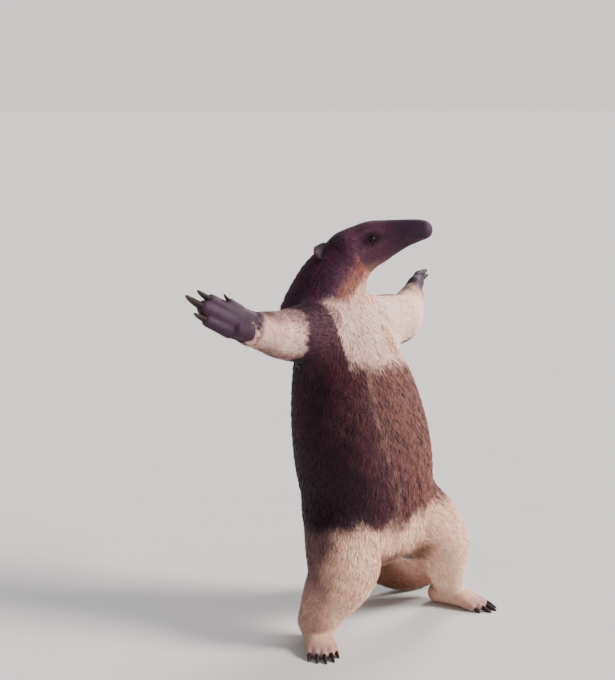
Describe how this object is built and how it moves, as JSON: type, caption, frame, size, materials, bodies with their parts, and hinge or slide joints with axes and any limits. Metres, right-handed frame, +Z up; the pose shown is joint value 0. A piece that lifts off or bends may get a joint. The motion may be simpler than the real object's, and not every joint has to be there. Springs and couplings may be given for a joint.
{
  "type": "southern tamandua",
  "caption": "Life-size still model of a southern tamandua standing upright on hind legs and tail, forelimbs spread wide.",
  "frame": {"origin": "on the floor, under the middle of the whole animal's box", "axes": "+Z up; the animal's belly faces -Y and its left side is +X, so the head looks towards -Y and a little to +X"},
  "size_m": [0.5884, 0.3524, 0.6063],
  "materials": {
    "dark_coat": "short dense fur, black-brown vest",
    "head_coat": "short fur, dusky brown",
    "pale_coat": "short fur, pale cream to straw",
    "tail_coat": "thin fur over scaly mottled skin",
    "palm_skin": "bare dark leathery skin with short dark fur on the back",
    "claw_horn": "satin horn",
    "eye": "wet gloss"
  },
  "bodies": {
    "root": {"chest": "dark_coat", "abdomen": "dark_coat", "neck": "head_coat", "head": "head_coat", "tail_base": "tail_coat", "tail_middle": "tail_coat", "tail_tip": "tail_coat", "ear_right": "head_coat", "eye_right": "eye", "upper_arm_right": "pale_coat", "forearm_right": "pale_coat", "thigh_right": "pale_coat", "shank_right": "pale_coat", "hand_right": "palm_skin", "claw_hand_right_1": "claw_horn", "claw_hand_right_2": "claw_horn", "claw_hand_right_3": "claw_horn", "claw_hand_right_4": "claw_horn", "foot_right": "pale_coat", "claw_foot_right_1": "claw_horn", "claw_foot_right_2": "claw_horn", "claw_foot_right_3": "claw_horn", "claw_foot_right_4": "claw_horn", "claw_foot_right_5": "claw_horn", "ear_left": "head_coat", "eye_left": "eye", "upper_arm_left": "pale_coat", "forearm_left": "pale_coat", "thigh_left": "pale_coat", "shank_left": "pale_coat", "hand_left": "palm_skin", "claw_hand_left_1": "claw_horn", "claw_hand_left_2": "claw_horn", "claw_hand_left_3": "claw_horn", "claw_hand_left_4": "claw_horn", "foot_left": "pale_coat", "claw_foot_left_1": "claw_horn", "claw_foot_left_2": "claw_horn", "claw_foot_left_3": "claw_horn", "claw_foot_left_4": "claw_horn", "claw_foot_left_5": "claw_horn"}
  },
  "joints": []
}
